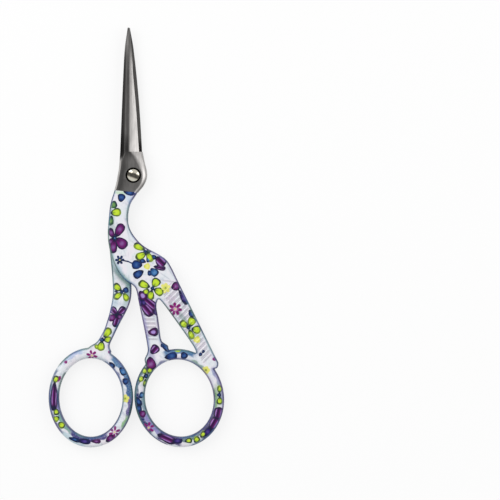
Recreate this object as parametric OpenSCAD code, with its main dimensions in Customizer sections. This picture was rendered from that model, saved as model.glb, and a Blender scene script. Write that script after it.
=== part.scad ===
// Embroidery scissors shaped like a stork: two crossed halves turning on one screw.
// They lie on their back. X runs to the right, Y from the rings towards the tips and
// Z up from the table. The origin is where the pivot axis meets the table.
// The front half carries the body, tail and right ring, the rear half the left ring.

/* [Blades] */
// Pivot to the tips
blade_reach = 40.2; // [30:0.2:52]
// Width of one blade at its root
blade_w = 5.1; // [4.4:0.1:6]
// Width of one blade at its tip
tip_w = 0.55; // [0.3:0.05:0.9]
// How far each blade shows beside the other one when closed
blade_offset = 0.8; // [0.3:0.1:1.2]
// How far the tips lean left of the pivot
tip_lean = 1.3; // [0.5:0.1:2.5]
// Pivot to the step where the cutting edges begin
root_drop = 6.4; // [5.4:0.1:8]
// Thickness left along the cutting edge
edge_t = 0.15; // [0.1:0.05:0.3]
// Thickness of the spine
spine_t = 1.15; // [0.8:0.05:1.5]
// Thickness on the ridge next to the tip
tip_t = 0.8; // [0.5:0.05:1.2]
// How far the closed blades' middle lies left of the pivot where they leave the head
root_x = 0.65; // [0.4:0.05:0.9]
// Width of the hollow-ground bevel at the blade's root
bevel_w = 2.55; // [1.8:0.05:3]
// Depth of the hollow in that bevel
hollow = 0.12; // [0.05:0.01:0.2]

/* [Pivot] */
// Thickness of each half where they cross
half_t = 2; // [1.8:0.1:2.6]
// Clearance between the two halves
half_gap = 0.06; // [0.04:0.01:0.12]
// Radius of the round head on the bulging side of each blade
head_r = 3.65; // [3.3:0.05:4.2]
// Reach of the head on the spine side
head_back = 4.25; // [3.8:0.05:4.8]
// Width of the ground rim that runs round the head
rim_w = 1.25; // [0.6:0.05:1.6]
// Thickness left at the edge of that rim
rim_t = 1.15; // [0.8:0.05:1.5]
// Diameter of the screw's head
screw_head_d = 3.7; // [3.2:0.1:4.2]
// Gap round the screw's head in its seat
seat_gap = 0.15; // [0.1:0.05:0.25]
// Depth of the seat
seat_depth = 0.7; // [0.5:0.05:0.9]
// Gap under the screw's head
head_lift = 0.04; // [0.02:0.01:0.08]
// Height of the dome above the blade's face
dome_h = 0.35; // [0.2:0.05:0.6]
// Diameter of the screw's shank
shank_d = 2.4; // [2:0.1:2.8]
// Running clearance round the shank, on the radius
run_gap = 0.04; // [0.02:0.01:0.08]
// Width of the driver slot
slot_w = 0.55; // [0.4:0.05:0.8]
// Depth of the driver slot
slot_depth = 0.45; // [0.3:0.05:0.6]
// Turn of the driver slot
slot_turn = -20; // [-90:5:90]

/* [Neck and tangs] */
// Pivot to the joint between steel and handle
seam_drop = 4.35; // [4.2:0.05:4.8]
// How far that joint's middle lies left of the pivot
seam_x = 2.1; // [1.8:0.05:2.4]
// Tilt of that joint
seam_tilt = -6; // [-8:1:0]
// Pivot to the neck's narrowest place
neck_drop = 11.5; // [10.5:0.1:13]
// Width of the neck there
neck_w = 5.2; // [4.6:0.1:6]
// How far the neck's middle stands left of the pivot there
neck_lean = 4.1; // [3.6:0.1:4.8]
// Width of the tangs
tang_w = 2.4; // [1.8:0.1:2.8]
// Thickness of the tangs
tang_t = 0.8; // [0.6:0.05:1]
// Length of the tangs inside the handles
tang_len = 7; // [5:0.5:9]
// Reach of the tangs back into the heads
tang_root = 1.5; // [1:0.1:2]

/* [Body] */
// Rounding of the handles' edges
edge_r = 0.75; // [0.5:0.05:0.9]
// Pivot to the foremost place of the breast
breast_drop = 16; // [15:0.1:17.5]
// Reach of the breast left of the pivot
breast_x = 7; // [6.8:0.05:7.6]
// Pivot to the shoulder
shoulder_drop = 22.9; // [22.2:0.1:23.6]
// Reach of the shoulder right of the pivot
shoulder_x = 8.9; // [8:0.1:9.4]
// Pivot to the fork between the two legs
fork_drop = 29.7; // [29.4:0.1:30.6]
// Pivot to the top of the gap between front leg and tail
gap_drop = 33.7; // [33.4:0.1:34.6]
// How far the top of that gap stands right of the pivot
gap_x = 6.9; // [6.5:0.05:7.3]

/* [Legs and tail] */
// Width of the front leg above its foot
front_leg_w = 3.9; // [3.2:0.1:4.4]
// Width of the rear leg above its foot
rear_leg_w = 3.5; // [3.2:0.1:4.4]
// Width of the rear half at its hip
hip_w = 5.2; // [4.8:0.1:5.8]
// Width of the rear leg at its knee
knee_w = 4.6; // [4:0.1:5]
// Pivot to the rear leg's knee
knee_drop = 35; // [34:0.2:36]
// Width of the tail at its end
tail_w = 5.2; // [4.4:0.1:6]
// How far the rear leg's knee stands left of the pivot
knee_x = 3.5; // [3:0.1:4]
// How far right of its ring's middle the rear leg lands
rear_foot_dx = 3.1; // [2:0.1:4.5]
// How far left of its ring's middle the front leg lands
front_foot_dx = 6.6; // [5.8:0.1:7.4]
// How far right of its ring's middle the tail lands
tail_foot_dx = 6.9; // [6:0.1:7.8]
// Rounding of the corners where a leg meets its ring
foot_r = 1.8; // [1.2:0.1:2.4]
// Length over which the legs and the tail pass from their own layer to the rings
layer_run = 9; // [7:0.5:11]

/* [Finger rings] */
// Pivot to the middle of the finger holes
ring_drop = 60.5; // [56:0.1:64]
// Width of the left finger hole
left_hole_w = 17.25; // [15:0.05:19]
// Height of the left finger hole
left_hole_h = 21.4; // [19:0.1:23]
// Width of the right finger hole
right_hole_w = 18.6; // [16:0.1:20]
// Height of the right finger hole
right_hole_h = 21.1; // [19:0.1:23]
// How much higher the right ring ends than the left one
right_lift = 0.05; // [0:0.05:0.6]
// Lean of the right finger hole
right_lean = 11.5; // [0:0.5:18]
// Width of the ring bars
bar_w = 2.9; // [2.6:0.05:3.6]
// Thickness of the ring bars
bar_t = 3.6; // [3.2:0.1:4]
// How far the faces of legs and tail lie below those of the rings
leg_inset = 0.15; // [0.05:0.05:0.3]
// Rounding of the ring bars
bar_r = 1.2; // [0.8:0.05:1.25]
// Gap between the closed rings
ring_gap = 0.3; // [0.1:0.05:0.4]
// Sideways place of that gap, from the pivot
ring_gap_x = 0.05; // [-1:0.05:1.5]

/* [Feather ribs] */
// Width of the raised ribs
rib_w = 0.5; // [0.35:0.05:0.6]
// Height of the raised ribs
rib_h = 0.15; // [0.1:0.01:0.25]
// Spacing of the ribs across the tail
tail_rib_pitch = 1.2; // [0.9:0.05:1.6]
// Spacing of the ribs on the front leg
leg_rib_pitch = 1.1; // [0.9:0.05:1.6]

/* [Hidden] */
$fn = 64;

steel = "dimgray";
print_ground = "lavender";
screw_steel = "wheat";

// Heights: each half keeps to its own layer where they cross
mid_z = half_t;
front_z = [mid_z + half_gap / 2, 2 * half_t];
rear_z = [0, mid_z - half_gap / 2];
ring_z = [0, bar_t];

// Stations along the blades, heads, handles and rings, and steps of the round corners
blade_steps = 12;
head_steps = 22;
limb_step = 0.8;
gap_steps = 16;
ring_steps = 60;
corner_steps = 3;

// Cutters run this far past what they cut, and blanks this far past the joint in the neck
overlap = 0.5;
seam_over = 1.6;

// Blades: width of the slanting spine facet and of the head's back facet, the least land left
// beside the edge, the length over which blade turns into head, and the step to read slopes
spine_run = 1.1;
head_facet = 0.45;
least_land = 0.1;
root_run = 3;
slope_step = 0.1;

// Screw: straight part of the head above the face, and how far the shank runs into the head
dome_start = 0.1;
bite = 0.1;

// Blunt top of the gap between front leg and tail, and rise of the feet over their rings
gap_top = 0.4;
foot_rise = 1;

function mix(a, b, t) = a + (b - a) * t;
function ease(t) = let (s = max(0, min(1, t))) s * s * (3 - 2 * s);

// Smooth curve through a list of [x, y] points that runs down in y, read at one y
function tangent(p, i) =
    let (a = max(i - 1, 0), b = min(i + 1, len(p) - 1))
    (p[b][0] - p[a][0]) / (p[b][1] - p[a][1]);
function span_at(p, y, i = 0) = i >= len(p) - 2 || y >= p[i + 1][1] ? i : span_at(p, y, i + 1);
function read_curve(p, y) =
    let (
        i = span_at(p, y),
        h = p[i + 1][1] - p[i][1],
        t = (y - p[i][1]) / h,
        t2 = t * t,
        t3 = t2 * t
    )
    (2 * t3 - 3 * t2 + 1) * p[i][0] + (t3 - 2 * t2 + t) * h * tangent(p, i)
    + (3 * t2 - 2 * t3) * p[i + 1][0] + (t3 - t2) * h * tangent(p, i + 1);

// Outer edge of the head and neck on the right, from the blade's root down
neck_left = -neck_lean - neck_w / 2;
neck_right = neck_w / 2 - neck_lean;
head_foot = 0.4 * head_r;
head_right = [
    [0.671 * head_r, root_drop],
    [0.803 * head_r, 0.625 * root_drop],
    [head_r, 0.14 * root_drop],
    [0.978 * head_r, -0.138 * seam_drop],
    [0.73 * head_r, -0.575 * seam_drop],
    [head_foot, -0.92 * seam_drop],
    [mix(head_foot, neck_right, 0.27), -1.23 * seam_drop],
    [mix(head_foot, neck_right, 0.8), -mix(1.23 * seam_drop, neck_drop, 0.42)],
    [neck_right, -neck_drop]
];

// Outer edge of the head and neck on the left
head_left = [
    [-root_x - (blade_w + blade_offset) / 2, root_drop],
    [-0.918 * head_back, 0.344 * root_drop],
    [-head_back, 0],
    [mix(-head_back, neck_left, 0.26), -0.76 * seam_drop],
    [mix(-head_back, neck_left, 0.82), -mix(0.76 * seam_drop, neck_drop, 0.55)],
    [neck_left, -neck_drop]
];

// Width of the two closed blades together, from tip to root
blade_len = blade_reach - root_drop;
both_w = blade_w + blade_offset;
taper = [
    [tip_w, blade_reach],
    [0.37 * both_w, blade_reach - 0.15 * blade_len],
    [0.52 * both_w, blade_reach - 0.3 * blade_len],
    [both_w, root_drop]
];
function along(y) = (blade_reach - y) / blade_len;
function axis_x(y) = mix(-tip_lean, -root_x, along(y));
function spine_side(y) = axis_x(y) - read_curve(taper, y) / 2;
function shown(y) = blade_offset * mix(0.1, 1, min(1, along(y) * 2.5)) * mix(0.6, 1, along(y));
function edge_side(y) = axis_x(y) + read_curve(taper, y) / 2 - shown(y);
function ridge_at(y) =
    mix(axis_x(blade_reach), edge_side(root_drop) - bevel_w, along(y));

// Ring middles follow from the hole sizes, so that the bars meet at the gap and end together
function lean_half_w(w, h, lean) = norm([w * cos(lean), h * sin(lean)]) / 2;
function lean_half_h(w, h, lean) = norm([w * sin(lean), h * cos(lean)]) / 2;
left_c = [ring_gap_x - ring_gap / 2 - bar_w - left_hole_w / 2, -ring_drop];
right_c = [
    ring_gap_x + ring_gap / 2 + bar_w + lean_half_w(right_hole_w, right_hole_h, right_lean),
    -ring_drop - left_hole_h / 2 + right_lift + lean_half_h(right_hole_w, right_hole_h, right_lean)
];

// Height of a ring's middle line above one x, for a ring that leans
function ring_top(c, w, h, lean, x) =
    let (
        a = (w + bar_w) / 2,
        b = (h + bar_w) / 2,
        d = x - c[0],
        p = pow(cos(lean) / a, 2) + pow(sin(lean) / b, 2),
        q = cos(lean) * sin(lean) * (1 / (a * a) - 1 / (b * b)),
        r = pow(sin(lean) / a, 2) + pow(cos(lean) / b, 2)
    )
    c[1] + (sqrt(max(0, q * q * d * d - r * (p * d * d - 1))) - q * d) / r;

// Places of the feet on the rings
rear_foot = let (x = left_c[0] + rear_foot_dx)
    [x, ring_top(left_c, left_hole_w, left_hole_h, 0, x)];
front_foot = let (x = right_c[0] - front_foot_dx)
    [x, ring_top(right_c, right_hole_w, right_hole_h, right_lean, x)];
tail_foot = let (x = right_c[0] + tail_foot_dx)
    [x, ring_top(right_c, right_hole_w, right_hole_h, right_lean, x)];

// Widening of a limb as it runs down to the level of its foot
function foot(y, level) =
    let (s = max(0, min(1, 1 - (y - level) / foot_r)))
    foot_r * (1 - sqrt(1 - s * s));
rear_level = rear_foot[1] + bar_w / 2 + foot_rise;
front_level = right_c[1] + right_hole_h / 2 + bar_w + foot_rise;

// Back of the neck and shoulder, as shares of the way from the neck to the shoulder
nape = [[0.07, 0.3], [0.29, 0.58], [0.5, 0.73], [0.79, 0.868]];
tail_top = [shoulder_x + 0.24 * tail_w, -shoulder_drop - 0.346 * tail_w];
tail_tip = tail_foot + [0.74 * tail_w, 0.19 * bar_w];
tail_heel = tail_foot + [0.66 * tail_w, -0.26 * bar_w];
back_edge = concat(
    [for (i = [4:8]) head_right[i]],
    [for (s = nape) [mix(neck_right, shoulder_x, s[0]), -mix(neck_drop, shoulder_drop, s[1])]],
    [[shoulder_x, -shoulder_drop], tail_top],
    [for (t = [0.12, 0.94, 1]) mix(tail_top, tail_tip, t)],
    [tail_heel]
);
breast = [[-breast_x, -breast_drop], [-0.965 * breast_x, -mix(breast_drop, fork_drop, 0.2)]];
chest_edge = concat([for (i = [3:5]) head_left[i]], breast);

// Belly: a flattened quarter oval from the breast to the fork
belly_power = 1.75;
function belly(y) =
    let (t = max(0, min(1, (-y - breast_drop) / (fork_drop - breast_drop))))
    -breast_x * pow(1 - pow(t, belly_power), 1 / belly_power);

// Edges of the front leg and the inner edge of the tail, stepped off in widths of leg and tail
front_leg_left = let (w = front_leg_w) [
    [-0.05 * w, -fork_drop + 0.08 * w],
    [0.19 * w, -fork_drop - 0.36 * w],
    [gap_x - 1.42 * w, -gap_drop - 0.13 * w],
    front_foot + [-0.5 * w, 0.9 * w],
    front_foot + [-0.6 * w, 0.5 * w],
    front_foot + [-0.75 * w, 0.2 * w],
    front_foot + [-0.4 * w, -0.8 * w]
];
front_leg_right = let (w = front_leg_w) [
    [gap_x - gap_top / 2, -gap_drop],
    [gap_x - 0.18 * w, -gap_drop - 0.41 * w],
    [mix(gap_x - 0.18 * w, front_foot[0] + w / 2, 0.35), -gap_drop - 1.41 * w],
    front_foot + [0.5 * w, 0.77 * w]
];
tail_left = let (w = tail_w) [
    [gap_x + gap_top / 2, -gap_drop],
    [gap_x + 0.36 * w, -gap_drop - 0.4 * w],
    tail_foot + [-0.55 * w, 0.96 * w],
    tail_foot + [-0.4 * w, 0.58 * w]
];
function front_left(y) =
    y > -breast_drop ? read_curve(chest_edge, y) : y > -fork_drop ? belly(y)
    : read_curve(front_leg_left, y);

// Rear half below the neck: its outer and inner edges down to the foot
hip = [-0.465 * breast_x, -mix(breast_drop, knee_drop, 0.63)];
knee = [-knee_x, -knee_drop];
shin = mix(knee, rear_foot, 0.45);
rear_left = concat(chest_edge, [
    hip - [hip_w / 2, 0],
    knee + knee_w * [-0.5, 0.33],
    shin - [0.56 * rear_leg_w, 0],
    rear_foot + rear_leg_w * [-0.5, 0.82]
]);
rear_right = concat([for (i = [4:8]) head_right[i]], [
    [mix(neck_right, hip[0] + hip_w / 2, 0.55), -mix(neck_drop, -hip[1], 0.46)],
    hip + [hip_w / 2, 0],
    knee + knee_w * [0.56, 0.13],
    shin + [0.44 * rear_leg_w, 0],
    rear_foot + rear_leg_w * [0.5, 0.67]
]);

// Thickness of a half: its own layer down to the fork, then easing to the ring's
function layer(z, y) =
    let (t = ease((-fork_drop - gap_top - y) / layer_run))
    [mix(z[0], ring_z[0] + leg_inset, t), mix(z[1], ring_z[1] - leg_inset, t)];

// A cross section between x0 and x1, from z[0] to z[1], with rounded corners
function corner(x, z, r, start) = [
    for (i = [0:corner_steps])
        let (a = start + 90 * i / corner_steps) [x + r * cos(a), z + r * sin(a)]
];
function bar_section(x0, x1, z, r) =
    let (q = min(r, (x1 - x0) / 2 - 0.01, (z[1] - z[0]) / 2 - 0.01))
    concat(
        corner(x1 - q, z[1] - q, q, 0),
        corner(x0 + q, z[1] - q, q, 90),
        corner(x0 + q, z[0] + q, q, 180),
        corner(x1 - q, z[0] + q, q, 270)
    );

// Solid skin over a list of sections with equally many points, capped or closed in a loop
module skin(sections, loop = false) {
    n = len(sections[0]);
    m = len(sections);
    last = loop ? m - 1 : m - 2;
    sides = [
        for (i = [0:last], j = [0:n - 1])
            let (a = i * n, b = (i + 1) % m * n, k = (j + 1) % n)
            each [[a + j, a + k, b + k], [a + j, b + k, b + j]]
    ];
    far = (m - 1) * n;
    caps = loop ? [] : [
        for (j = [0:n / 2 - 2])
            each [
                [j, n - 1 - j, n - 2 - j, j + 1],
                [far + j, far + j + 1, far + n - 2 - j, far + n - 1 - j]
            ]
    ];
    polyhedron(points = [for (s = sections) each s], faces = concat(sides, caps), convexity = 8);
}

// A limb of a handle, from a list of [left edge, right edge, y, heights] running down
function reversed(p) = [for (i = [len(p) - 1:-1:0]) p[i]];
module limb(cuts) {
    skin([
        for (c = cuts) [for (p = reversed(bar_section(c[0], c[1], c[3], edge_r))) [p[0], c[2], p[1]]]
    ]);
}

// A cutter for the gap between two limbs, which leaves their edges rounded
module gap_cutter(cuts) {
    skin([
        for (c = cuts)
            let (x0 = c[0], x1 = c[1], z = c[3], r = min(edge_r, (x1 - x0) / 2 + 0.05))
            [
                for (p = concat(
                    [[x1 + r, z[1] + overlap]],
                    corner(x1 + r, z[1] - r, r, 90),
                    corner(x1 + r, z[0] + r, r, 180),
                    [[x1 + r, z[0] - overlap], [x0 - r, z[0] - overlap]],
                    corner(x0 - r, z[0] + r, r, 270),
                    corner(x0 - r, z[1] - r, r, 0),
                    [[x0 - r, z[1] + overlap]]
                )) [p[0], c[2], p[1]]
            ]
    ]);
}

// All that lies within the middle line of a ring's bar
module ring_core(c, w, h, lean) {
    translate([c[0], c[1], -overlap]) rotate(lean)
        linear_extrude(2 * half_t + 2 * overlap) polygon([
            for (i = [0:ring_steps - 1])
                let (t = 360 * i / ring_steps)
                [(w + bar_w) / 2 * cos(t), (h + bar_w) / 2 * sin(t)]
        ]);
}

// A finger ring: a rounded bar swept round its hole
module ring(c, w, h, lean) {
    a = (w + bar_w) / 2;
    b = (h + bar_w) / 2;
    skin([
        for (i = [0:ring_steps - 1])
            let (
                t = 360 * i / ring_steps,
                out = [b * cos(t), a * sin(t)] / norm([b * cos(t), a * sin(t)]),
                p = [a * cos(t), b * sin(t)]
            )
            [
                for (s = bar_section(-bar_w / 2, bar_w / 2, ring_z, bar_r))
                    let (q = p + out * s[0])
                    [
                        c[0] + q[0] * cos(lean) - q[1] * sin(lean),
                        c[1] + q[0] * sin(lean) + q[1] * cos(lean),
                        s[1]
                    ]
            ]
    ], loop = true);
}

// Everything near the head above the joint between steel and handle, or below it
module past_seam(side) {
    wide = 2 * (head_r + head_back);
    translate([-seam_x, -seam_drop, -half_t]) rotate(seam_tilt)
        translate([-wide / 2, side > 0 ? 0 : -wide, 0]) cube([wide, wide, 4 * half_t]);
}

// A flat tang that runs from inside the head down into the neck
tang_turn = atan2(neck_drop - seam_drop, neck_lean - seam_x) - 90;
module tang(z) {
    translate([-seam_x, -seam_drop, (z[0] + z[1]) / 2]) rotate(tang_turn)
        translate([0, (tang_root - tang_len) / 2, 0])
            cube([tang_w, tang_root + tang_len, tang_t], center = true);
}

// Section of a blade as [place across, height over the flat inner face] pairs
function blade_section(back, face, ridge, edge, back_h, face_h, ridge_h, edge_h, dip) = [
    [back, 0], [back, back_h], [face, face_h], [ridge, ridge_h],
    [mix(ridge, edge, 0.33), mix(ridge_h, edge_h, 0.33) - dip],
    [mix(ridge, edge, 0.67), mix(ridge_h, edge_h, 0.67) - dip],
    [edge, edge_h], [edge, 0]
];
layer_t = half_t - half_gap / 2;

// Slope of an edge curve, and the rim's width measured straight across it
function slope(p, y) =
    (read_curve(p, y + slope_step) - read_curve(p, y - slope_step)) / (2 * slope_step);
function rim_run(p, y) = rim_w * sqrt(1 + pow(slope(p, y), 2));

// Blade above the head: spine, near face, ridge and hollow-ground bevel.
// side is 1 for the front blade and -1 for its partner, which is turned over.
function turned(side, x, y) = side > 0 ? x : 2 * axis_x(y) - x;
function cutting_sections(side) = [
    for (i = [0:blade_steps])
        let (
            y = mix(blade_reach, root_drop, i / blade_steps),
            back = turned(side, spine_side(y), y),
            edge = turned(side, edge_side(y), y),
            ridge = turned(side, min(ridge_at(y), edge_side(y) - least_land), y),
            top = mix(tip_t, layer_t, min(1, along(y) * 1.15)),
            face_h = mix(top * 0.85, layer_t, ease((along(y) - 0.8) / 0.2))
        )
        [y, blade_section(
            back, mix(back, ridge, 0.45), ridge, edge,
            min(spine_t, top * 0.7), face_h, top, edge_t, hollow * min(1, along(y) * 2)
        )]
];

// Head: flat land with the ground rim round its bulging side. It starts a hair below the
// blade's root, which leaves the step where the cutting edge begins.
step_t = 0.02;
function head_sections(side) = [
    for (i = [0:head_steps])
        let (
            y = mix(root_drop - step_t, -seam_drop - seam_over, i / head_steps),
            near_edge = side > 0 ? head_left : head_right,
            rim_edge = side > 0 ? head_right : head_left,
            back = read_curve(near_edge, y),
            edge = read_curve(rim_edge, y),
            blend = ease((root_drop - y) / root_run),
            bevel_run = edge_side(root_drop) - ridge_at(root_drop) + blade_offset,
            rim = mix(bevel_run, rim_run(rim_edge, y), blend)
        )
        [y, blade_section(
            back, back + side * mix(spine_run, head_facet, blend), edge - side * rim, edge,
            mix(spine_t, rim_t, blend), layer_t, layer_t, rim_t, 0
        )]
];
module blade_blank(side) {
    z = mid_z + side * half_gap / 2;
    skin([
        for (s = concat(cutting_sections(side), head_sections(side)))
            [for (p = s[1]) [p[0], s[0], z + side * p[1]]]
    ]);
}

module front_blade() {
    color(steel) difference() {
        union() {
            difference() {
                blade_blank(1);
                past_seam(-1);
            }
            tang(front_z);
        }
        cylinder(h = 3 * half_t, r = shank_d / 2 + run_gap);
        translate([0, 0, 2 * half_t - seat_depth])
            cylinder(h = half_t, r = screw_head_d / 2 + seat_gap);
    }
}

module rear_blade() {
    color(steel) difference() {
        union() {
            difference() {
                blade_blank(-1);
                past_seam(-1);
            }
            tang(rear_z);
        }
        translate([0, 0, -half_t]) cylinder(h = 3 * half_t, r = shank_d / 2);
    }
}

// A raised rib: a round rod sunk into the face from one end to the other
module rib(a, b) {
    r = (rib_w * rib_w / 4 + rib_h * rib_h) / (2 * rib_h);
    run = b - a;
    p = [a[0], a[1], layer(front_z, a[1])[1] + rib_h - r];
    rise = layer(front_z, b[1])[1] - layer(front_z, a[1])[1];
    translate(p) rotate([0, atan2(norm(run), rise), atan2(run[1], run[0])])
        cylinder(h = norm([norm(run), rise]), r = r, $fn = 24);
}

// Where the slanting line through m meets an edge, between lo and hi along it
function meet(p, m, lo, hi, tries = 14) =
    let (s = (lo + hi) / 2)
    tries == 0 ? s
    : m[0] + s > read_curve(p, m[1] + s) ? meet(p, m, lo, s, tries - 1) : meet(p, m, s, hi, tries - 1);
module tail_ribs() {
    w = tail_w;
    from = [gap_x + 0.47 * w, -gap_drop + 0.52 * w];
    to = tail_foot + w * [0.17, 0.5];
    n = floor(norm(to - from) / tail_rib_pitch);
    left_edge = concat(
        [[gap_x + 0.13 * w, -gap_drop + w], [gap_x + 0.15 * w, -gap_drop]],
        [for (i = [1:3]) tail_left[i]]
    );
    for (k = [0:n]) {
        m = mix(from, to, k / n);
        low = meet(left_edge, m, -tail_w, 0) + edge_r * 0.8;
        high = meet(back_edge, m, 0, tail_w) - edge_r * 0.8;
        rib(m + [low, low], m + [high, high]);
    }
}
module leg_ribs() {
    from = -gap_drop - front_leg_w;
    n = floor((from - front_level - foot_r) / leg_rib_pitch);
    for (k = [0:n]) {
        y = from - k * leg_rib_pitch;
        rib([read_curve(front_leg_left, y) + edge_r, y], [read_curve(front_leg_right, y) - edge_r, y]);
    }
}

// Neck, body, front leg and tail are one limb with the gap cut out of it
module front_handle() {
    top = -seam_drop + seam_over;
    end = tail_heel[1];
    n = ceil((top - end) / limb_step);
    gap_end = front_foot[1] + bar_w / 10;
    color(print_ground) difference() {
        union() {
            difference() {
                limb([
                    for (i = [0:n])
                        let (y = mix(top, end, i / n))
                        [front_left(y), read_curve(back_edge, y), y, layer(front_z, y)]
                ]);
                gap_cutter([
                    for (i = [0:gap_steps])
                        let (y = mix(-gap_drop, gap_end, i / gap_steps))
                        [
                            read_curve(front_leg_right, y) + foot(y, front_level),
                            read_curve(tail_left, y), y, layer(front_z, y)
                        ]
                ]);
                ring_core(right_c, right_hole_w, right_hole_h, right_lean);
            }
            ring(right_c, right_hole_w, right_hole_h, right_lean);
            tail_ribs();
            leg_ribs();
        }
        past_seam(1);
        tang(front_z);
    }
}

module rear_handle() {
    top = -seam_drop + seam_over;
    end = rear_foot[1] - bar_w / 2;
    n = ceil((top - end) / limb_step);
    color(print_ground) difference() {
        union() {
            difference() {
                limb([
                    for (i = [0:n])
                        let (y = mix(top, end, i / n))
                        [
                            read_curve(rear_left, y) - foot(y, rear_level),
                            read_curve(rear_right, y) + foot(y, rear_level - foot_rise) * 0.8,
                            y, layer(rear_z, y)
                        ]
                ]);
                ring_core(left_c, left_hole_w, left_hole_h, 0);
            }
            ring(left_c, left_hole_w, left_hole_h, 0);
        }
        past_seam(1);
        tang(rear_z);
    }
}

// The screw: its head sits in the front blade's seat, and its threaded end is filed
// flush with the back of the rear blade
module pivot_screw() {
    seat_z = 2 * half_t - seat_depth + head_lift;
    rim_z = 2 * half_t - dome_start;
    cap_h = dome_h + dome_start;
    cap_r = (pow(screw_head_d / 2, 2) + cap_h * cap_h) / (2 * cap_h);
    color(screw_steel) difference() {
        union() {
            cylinder(h = seat_z + bite, r = shank_d / 2);
            translate([0, 0, seat_z]) cylinder(h = rim_z - seat_z, r = screw_head_d / 2);
            intersection() {
                translate([0, 0, seat_z]) cylinder(h = half_t, r = screw_head_d / 2);
                translate([0, 0, rim_z + cap_h - cap_r]) sphere(r = cap_r);
            }
        }
        rotate(slot_turn) translate([0, 0, 2 * half_t + dome_h - slot_depth + half_t])
            cube([2 * screw_head_d, slot_w, 2 * half_t], center = true);
    }
}

front_blade();
rear_blade();
front_handle();
rear_handle();
pivot_screw();
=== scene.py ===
# Looks of a small pair of stork embroidery scissors, laid on a pale table.
# All shapes are in metres in the CAD model's frame. Drawing sizes are written in mm.
import math
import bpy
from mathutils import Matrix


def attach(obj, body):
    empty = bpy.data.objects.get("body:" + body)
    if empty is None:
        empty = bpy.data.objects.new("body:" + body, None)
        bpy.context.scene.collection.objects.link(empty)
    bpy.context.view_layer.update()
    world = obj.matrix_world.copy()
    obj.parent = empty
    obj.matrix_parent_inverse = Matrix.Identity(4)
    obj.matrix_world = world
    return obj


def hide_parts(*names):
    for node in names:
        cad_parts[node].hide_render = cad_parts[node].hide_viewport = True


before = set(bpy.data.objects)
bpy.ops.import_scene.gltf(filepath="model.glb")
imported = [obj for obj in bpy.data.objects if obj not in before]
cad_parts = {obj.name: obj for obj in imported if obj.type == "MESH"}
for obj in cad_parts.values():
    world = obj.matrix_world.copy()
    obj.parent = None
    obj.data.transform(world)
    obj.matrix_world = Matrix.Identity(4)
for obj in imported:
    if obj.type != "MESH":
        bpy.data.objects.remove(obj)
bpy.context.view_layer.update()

from types import SimpleNamespace

import bmesh
import bpy
import numpy as np
from mathutils import Vector
from mathutils.kdtree import KDTree

# Table, light and camera.
# The scissors lie on a white table under soft studio light, and a long lens looks straight down
# on them. None of this belongs to the object.
MM, PER_METRE = 0.001, 1000.0
PIXEL_MM, PIVOT_PX, MIDDLE_PX = 0.272, (133.4, 175.3), 250
TRUE_LEVEL = 3  # how far over the table a pixel is PIXEL_MM wide
LENS, SENSOR = 180, 36
TABLE_HALF, TABLE_DROP, TABLE_GLOW = 900, 0.05, 0.8
WHITE, PAPER_WHITE, SKY_STRENGTH = (1.0, 1.0, 1.0, 1.0), (0.9, 0.9, 0.9, 1.0), 0.56
LAMPS_FACE = (0.003, -0.02, 0.0)
LAMPS = [  # as (name, place in metres, width in metres, power)
    ("light_left", (-0.35, 0.25, 0.45), 0.55, 2.2), ("light_right", (0.45, 0.05, 0.35), 0.5, 0.9),
]


def new_object(name, vertices, faces):
    """A smooth mesh object from vertices in millimetres."""
    mesh = bpy.data.meshes.new(name)
    mesh.from_pydata([tuple(c * MM for c in v) for v in vertices], [], faces)
    mesh.update()
    mesh.shade_smooth()
    made = bpy.data.objects.new(name, mesh)
    bpy.context.scene.collection.objects.link(made)
    return made


class Nodes:
    """Short way to build the node tree of one material or world."""

    def __init__(self, owner):
        owner.use_nodes = True
        self.tree = owner.node_tree
        self.tree.nodes.clear()

    def add(self, kind, out=0, settings=None, **inputs):
        """One node. Its inputs go by name, or as i0, i1 and so on by number."""
        node = self.tree.nodes.new(kind)
        for key, value in (settings or {}).items():
            setattr(node, key, value)
        for key, value in inputs.items():
            socket = node.inputs[int(key[1:]) if key[1:].isdigit() else key]
            if isinstance(value, bpy.types.NodeSocket):
                self.tree.links.new(value, socket)
            else:
                socket.default_value = value
        return node.outputs[out] if node.outputs else node

    def math(self, operation, a, b):
        return self.add("ShaderNodeMath", settings={"operation": operation}, i0=a, i1=b)

    def plus(self, a, b):
        return self.math("ADD", a, b)

    def times(self, a, b):
        return self.math("MULTIPLY", a, b)

    def sway(self, value, amount):
        """A value from 0 to 1 turned into one that swings round 0."""
        return self.times(self.math("SUBTRACT", value, 0.5), amount)

    def ramp(self, value, low, high):
        """0 below low, 1 above high, smooth between."""
        return self.add(
            "ShaderNodeMapRange", settings={"interpolation_type": "SMOOTHSTEP"},
            Value=value, i1=low, i2=high, i3=0.0, i4=1.0,
        )

    def fall(self, value, low, high):
        """1 below low, 0 above high, smooth between."""
        return self.math("SUBTRACT", 1.0, self.ramp(value, low, high))

    def mix(self, factor, a, b, blend="MIX"):
        return self.add(
            "ShaderNodeMix", out=2, settings={"data_type": "RGBA", "blend_type": blend},
            i0=factor, i6=a, i7=b,
        )

    def place(self):
        """Where a point of the piece is, in metres."""
        return self.add("ShaderNodeTexCoord", out="Object")

    def read(self, name, out="Fac"):
        """What is painted on the mesh under a name."""
        return self.add("ShaderNodeAttribute", out=out, settings={"attribute_name": name})

    def noise(self, vector, scale, detail=2.0, rough=0.5):
        return self.add(
            "ShaderNodeTexNoise", Vector=vector, Scale=scale, Detail=detail, Roughness=rough,
        )

    def strokes(self, vector, scale, detail, rough=0.5, turn=0.0):
        """Noise drawn out along one direction."""
        drawn = self.add("ShaderNodeMapping", Vector=vector, Rotation=(0, 0, turn), Scale=scale)
        return self.noise(drawn, 1.0, detail, rough)


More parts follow.
